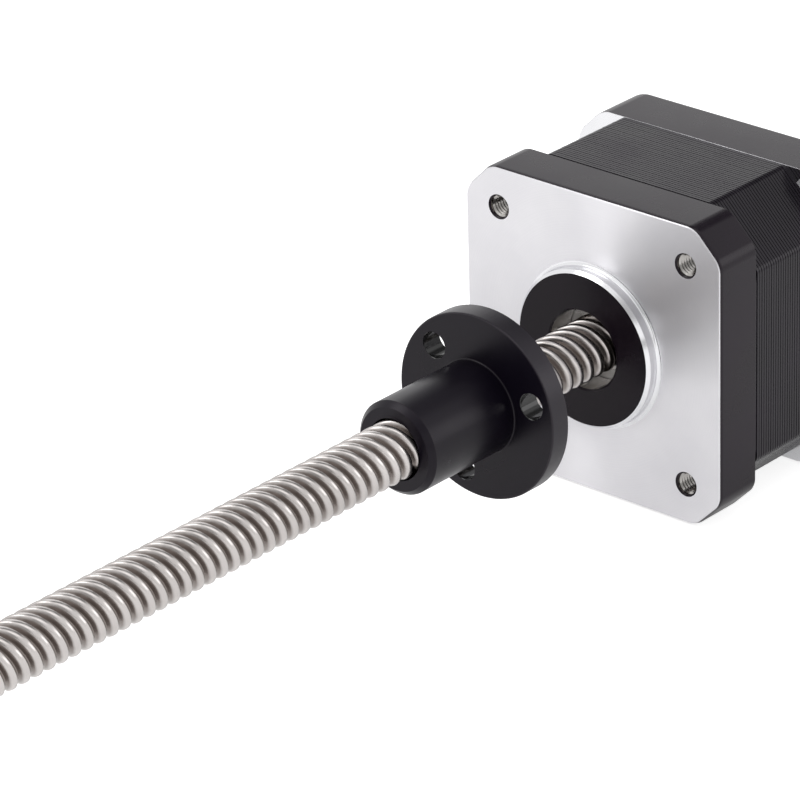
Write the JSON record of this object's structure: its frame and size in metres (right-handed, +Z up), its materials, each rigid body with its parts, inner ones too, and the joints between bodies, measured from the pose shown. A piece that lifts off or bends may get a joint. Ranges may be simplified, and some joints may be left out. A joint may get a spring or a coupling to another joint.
{
  "type": "linear stepper motor",
  "caption": "Square-frame hybrid stepper motor whose shaft is a long multi-start lead screw carrying a round flanged nut.",
  "frame": {"origin": "on the screw's axis, in the plane of the motor's mounting face", "axes": "-Y along the screw away from the motor, +Y into the motor body, +Z up, +X to the right seen from the screw's side"},
  "size_m": [0.0436, 0.1818, 0.0424],
  "materials": {
    "cover_cast": "satin black paint on cast aluminium, mounting face machined bare",
    "lamination_steel": "satin black paint over stacked laminations",
    "insulator_plastic": "matte moulded plastic",
    "copper_winding": "gloss enamelled copper wire",
    "rotor_steel": "ground laminations",
    "magnet": "matte sintered magnet",
    "spacer_brass": "turned",
    "bearing_steel": "polished",
    "bearing_shield": "pressed sheet",
    "bearing_cage": "moulded",
    "spring_steel": "satin",
    "screw_steel": "rolled stainless thread, polished crests",
    "nut_plastic": "turned black plastic, satin",
    "fastener_steel": "black oxide",
    "board": "solder mask",
    "socket_plastic": "moulded",
    "contact_pins": "tin plated"
  },
  "bodies": {
    "motor": {"front_cover": "cover_cast", "rear_cover": "cover_cast", "stator_stack": "lamination_steel", "insulator_front": "insulator_plastic", "insulator_rear": "insulator_plastic", "coil_phase_a": "copper_winding", "coil_phase_b": "copper_winding", "terminal_board": "board", "connector_housing": "socket_plastic", "connector_pins": "contact_pins", "tie_screws": "fastener_steel", "wave_washer": "spring_steel", "front_bearing_outer_ring": "bearing_steel", "rear_bearing_outer_ring": "bearing_steel", "front_bearing_shields": "bearing_shield", "rear_bearing_shields": "bearing_shield"},
    "screw": {"lead_screw": "screw_steel", "rotor_cup_front": "rotor_steel", "rotor_cup_rear": "rotor_steel", "rotor_magnet": "magnet", "front_spacer": "spacer_brass", "rear_spacer": "spacer_brass", "front_bearing_inner_ring": "bearing_steel", "rear_bearing_inner_ring": "bearing_steel"},
    "front_ball_set": {"front_bearing_balls": "bearing_steel", "front_bearing_cage": "bearing_cage"},
    "rear_ball_set": {"rear_bearing_balls": "bearing_steel", "rear_bearing_cage": "bearing_cage"},
    "nut": {"lead_nut": "nut_plastic"}
  },
  "joints": [
    {"name": "screw_spin", "type": "hinge", "parent": "motor", "child": "screw", "pos_m": [0, 0, 0], "axis": [0, 1, 0], "range_deg": [-720, 4680]},
    {"name": "nut_travel", "type": "slide", "parent": "motor", "child": "nut", "axis": [0, -1, 0], "range_m": [-0.01693, 0.11007]},
    {"name": "front_ball_orbit", "type": "hinge", "parent": "motor", "child": "front_ball_set", "pos_m": [0, 0.0047, 0], "axis": [0, 1, 0], "range_deg": [-260.58, 1693.7]},
    {"name": "rear_ball_orbit", "type": "hinge", "parent": "motor", "child": "rear_ball_set", "pos_m": [0, 0.0264, 0], "axis": [0, 1, 0], "range_deg": [-260.58, 1693.7]}
  ],
  "couplings": [
    {"joint": "nut_travel", "follows": "screw_spin", "m_per_rad": 0.0013475},
    {"joint": "front_ball_orbit", "follows": "screw_spin", "ratio": 0.3619},
    {"joint": "rear_ball_orbit", "follows": "screw_spin", "ratio": 0.3619}
  ]
}
